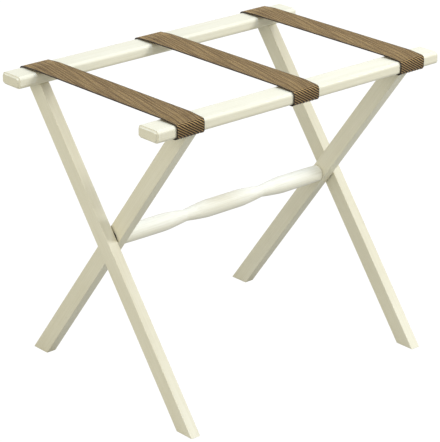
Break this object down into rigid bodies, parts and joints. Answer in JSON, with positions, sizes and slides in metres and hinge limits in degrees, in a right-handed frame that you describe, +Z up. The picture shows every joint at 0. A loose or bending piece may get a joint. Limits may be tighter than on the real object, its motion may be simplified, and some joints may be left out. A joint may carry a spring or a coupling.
{
  "type": "folding luggage rack",
  "caption": "Folding luggage rack: crossed painted wooden frames on a concealed pivot, joined at the top by flat webbing straps that carry a suitcase.",
  "frame": {"origin": "on the floor under the middle of the open rack", "axes": "+X along the rails to the right, +Y from front to back, +Z up"},
  "size_m": [0.57, 0.4104, 0.4862],
  "materials": {
    "painted_wood": "satin paint",
    "webbing": "woven twill webbing",
    "steel": "zinc plated",
    "nylon": "matte"
  },
  "bodies": {
    "outer_frame": {"rail_back": "painted_wood", "leg_outer_left": "painted_wood", "leg_outer_right": "painted_wood", "rail_screw_back_left": "steel", "rail_screw_back_right": "steel", "strap_left_wrap_back": "webbing", "strap_middle_wrap_back": "webbing", "strap_right_wrap_back": "webbing", "staple_back_left_1": "steel", "staple_back_left_2": "steel", "staple_back_middle_1": "steel", "staple_back_middle_2": "steel", "staple_back_right_1": "steel", "staple_back_right_2": "steel"},
    "inner_frame": {"rail_front": "painted_wood", "leg_inner_left": "painted_wood", "leg_inner_right": "painted_wood", "stretcher": "painted_wood", "pivot_pin_left": "steel", "pivot_pin_right": "steel", "pivot_washer_left": "nylon", "pivot_washer_right": "nylon", "rail_screw_front_left": "steel", "rail_screw_front_right": "steel", "strap_left_wrap_front": "webbing", "strap_middle_wrap_front": "webbing", "strap_right_wrap_front": "webbing", "staple_front_left_1": "steel", "staple_front_left_2": "steel", "staple_front_middle_1": "steel", "staple_front_middle_2": "steel", "staple_front_right_1": "steel", "staple_front_right_2": "steel"},
    "straps_back": {"strap_left_span_back": "webbing", "strap_middle_span_back": "webbing", "strap_right_span_back": "webbing"},
    "straps_front": {"strap_left_span_front": "webbing", "strap_middle_span_front": "webbing", "strap_right_span_front": "webbing"}
  },
  "joints": [
    {"name": "fold", "type": "hinge", "parent": "outer_frame", "child": "inner_frame", "pos_m": [0, 0, 0.2505], "axis": [-1, 0, 0], "range_deg": [0, 59]},
    {"name": "back_straps_hang", "type": "hinge", "parent": "outer_frame", "child": "straps_back", "pos_m": [0, 0.142, 0.478], "axis": [1, 0, 0], "range_deg": [0, 59.5], "deforming": ["strap_left_span_back", "strap_middle_span_back", "strap_right_span_back"]},
    {"name": "front_straps_hang", "type": "hinge", "parent": "inner_frame", "child": "straps_front", "pos_m": [0, -0.142, 0.478], "axis": [-1, 0, 0], "range_deg": [0, 59.5], "deforming": ["strap_left_span_front", "strap_middle_span_front", "strap_right_span_front"]}
  ],
  "couplings": [
    {"joint": "back_straps_hang", "follows": "fold", "ratio": 1.0034},
    {"joint": "front_straps_hang", "follows": "fold", "ratio": 1.0034}
  ]
}
